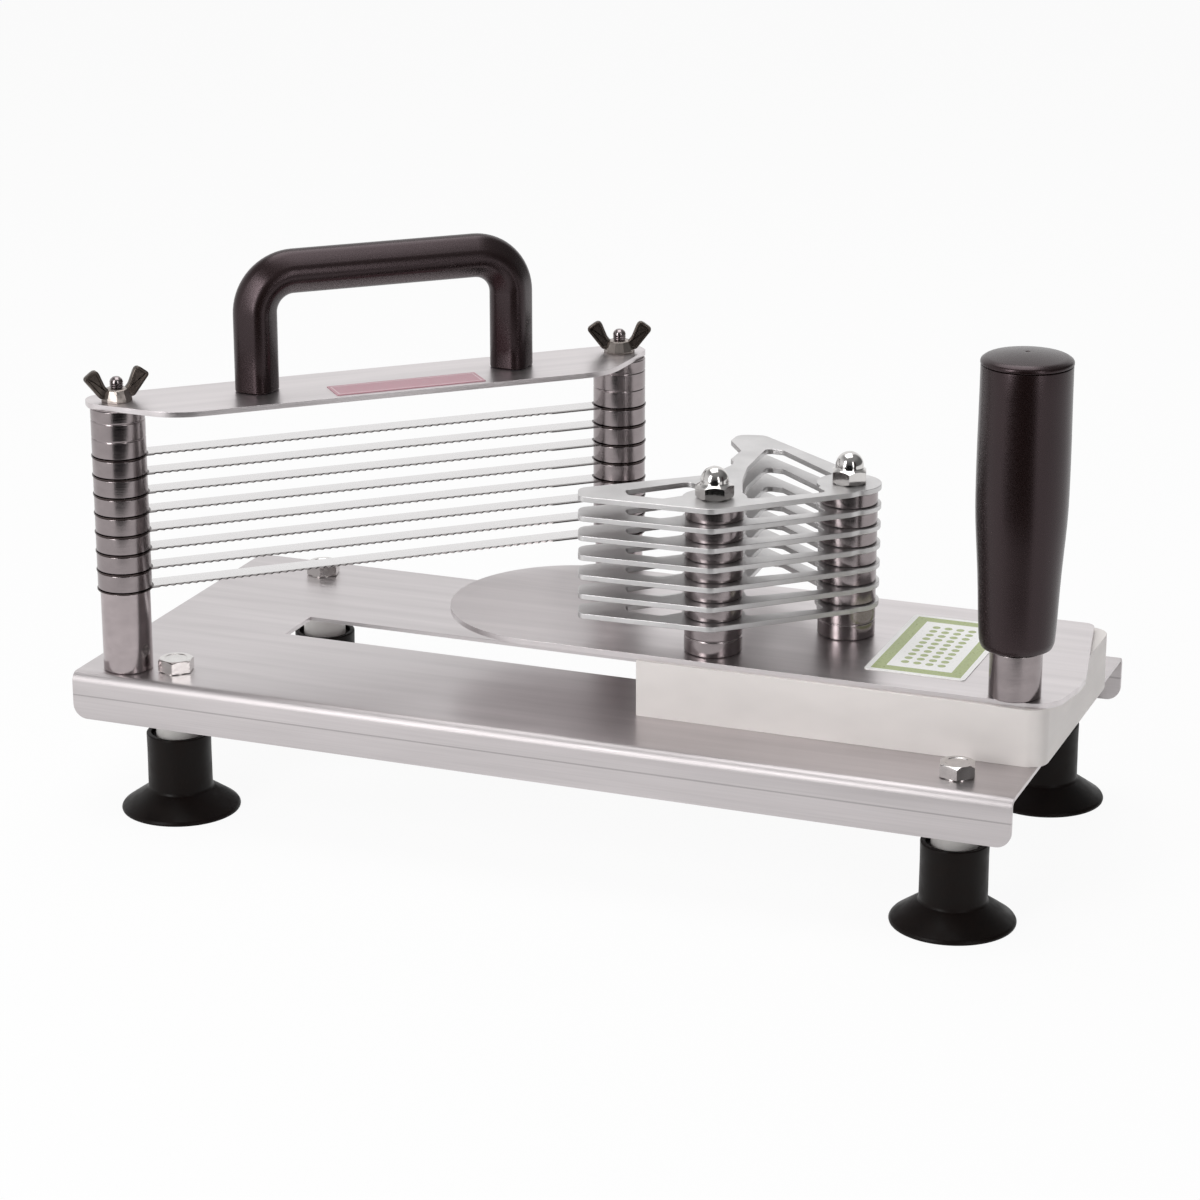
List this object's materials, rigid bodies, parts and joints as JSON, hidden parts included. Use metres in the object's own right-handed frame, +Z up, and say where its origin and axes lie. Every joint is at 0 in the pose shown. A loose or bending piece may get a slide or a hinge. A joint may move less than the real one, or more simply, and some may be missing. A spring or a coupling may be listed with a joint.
{
  "type": "tomato slicer",
  "caption": "Hand tomato slicer: serrated blades between two posts on a steel base with suction feet, and a sliding comb-shaped pusher with an upright grip.",
  "frame": {"origin": "middle of the bounding box on the table, under the suction cups", "axes": "+X to the right along the slide, away from the blades; +Y to the back; +Z up"},
  "size_m": [0.369, 0.1722, 0.2096],
  "materials": {
    "brushed_sheet": "brushed stainless sheet",
    "turned_steel": "turned stainless bar",
    "blade_steel": "ground and toothed strip",
    "bright_steel": "polished cap nuts and bolt heads",
    "dark_steel": "blackened cast wing nuts",
    "black_plastic": "moulded, fine matt grain",
    "black_rubber": "moulded soft rubber",
    "white_plastic": "milled polyethylene",
    "red_label": "printed film",
    "green_label": "printed film"
  },
  "bodies": {
    "stand": {"base_tray": "brushed_sheet", "front_left_cup": "black_rubber", "front_right_cup": "black_rubber", "rear_left_cup": "black_rubber", "rear_right_cup": "black_rubber", "front_left_sleeve": "white_plastic", "front_right_sleeve": "white_plastic", "rear_left_sleeve": "white_plastic", "rear_right_sleeve": "white_plastic", "front_left_bolt": "bright_steel", "front_right_bolt": "bright_steel", "rear_left_bolt": "bright_steel", "rear_right_bolt": "bright_steel", "front_post": "turned_steel", "rear_post": "turned_steel", "front_stud": "turned_steel", "rear_stud": "turned_steel", "stud_nuts": "turned_steel", "front_spacers": "turned_steel", "rear_spacers": "turned_steel", "blade_1": "blade_steel", "blade_2": "blade_steel", "blade_3": "blade_steel", "blade_4": "blade_steel", "blade_5": "blade_steel", "blade_6": "blade_steel", "blade_7": "blade_steel", "blade_8": "blade_steel", "bridge_plate": "brushed_sheet", "carry_handle": "black_plastic", "handle_screws": "turned_steel", "bridge_label": "red_label"},
    "carriage": {"slide_block": "white_plastic", "slide_plate": "brushed_sheet", "guide_key": "white_plastic", "retainer_plate": "brushed_sheet", "retainer_screws": "turned_steel", "pusher_plate_1": "brushed_sheet", "pusher_plate_2": "brushed_sheet", "pusher_plate_3": "brushed_sheet", "pusher_plate_4": "brushed_sheet", "pusher_plate_5": "brushed_sheet", "pusher_plate_6": "brushed_sheet", "pusher_plate_7": "brushed_sheet", "front_pusher_rings": "turned_steel", "rear_pusher_rings": "turned_steel", "front_pusher_stud": "turned_steel", "rear_pusher_stud": "turned_steel", "front_cap_nut": "bright_steel", "rear_cap_nut": "bright_steel", "pusher_lock_nuts": "turned_steel", "grip_collar": "turned_steel", "grip_spindle": "turned_steel", "slide_label": "green_label"},
    "front_wing": {"front_wing_nut": "dark_steel"},
    "rear_wing": {"rear_wing_nut": "dark_steel"},
    "grip_sleeve": {"grip": "black_plastic", "grip_cap": "black_plastic"}
  },
  "joints": [
    {"name": "carriage_slide", "type": "slide", "parent": "stand", "child": "carriage", "axis": [-1, 0, 0], "range_m": [0, 0.155]},
    {"name": "front_wing_turn", "type": "hinge", "parent": "stand", "child": "front_wing", "pos_m": [-0.16778, -0.06707, 0.1576], "axis": [0, 0, 1], "continuous": true},
    {"name": "rear_wing_turn", "type": "hinge", "parent": "stand", "child": "rear_wing", "pos_m": [-0.02242, 0.06707, 0.1576], "axis": [0, 0, 1], "continuous": true},
    {"name": "grip_turn", "type": "hinge", "parent": "carriage", "child": "grip_sleeve", "pos_m": [0.1655, -0.0394, 0.0943], "axis": [0, 0, 1], "continuous": true}
  ]
}
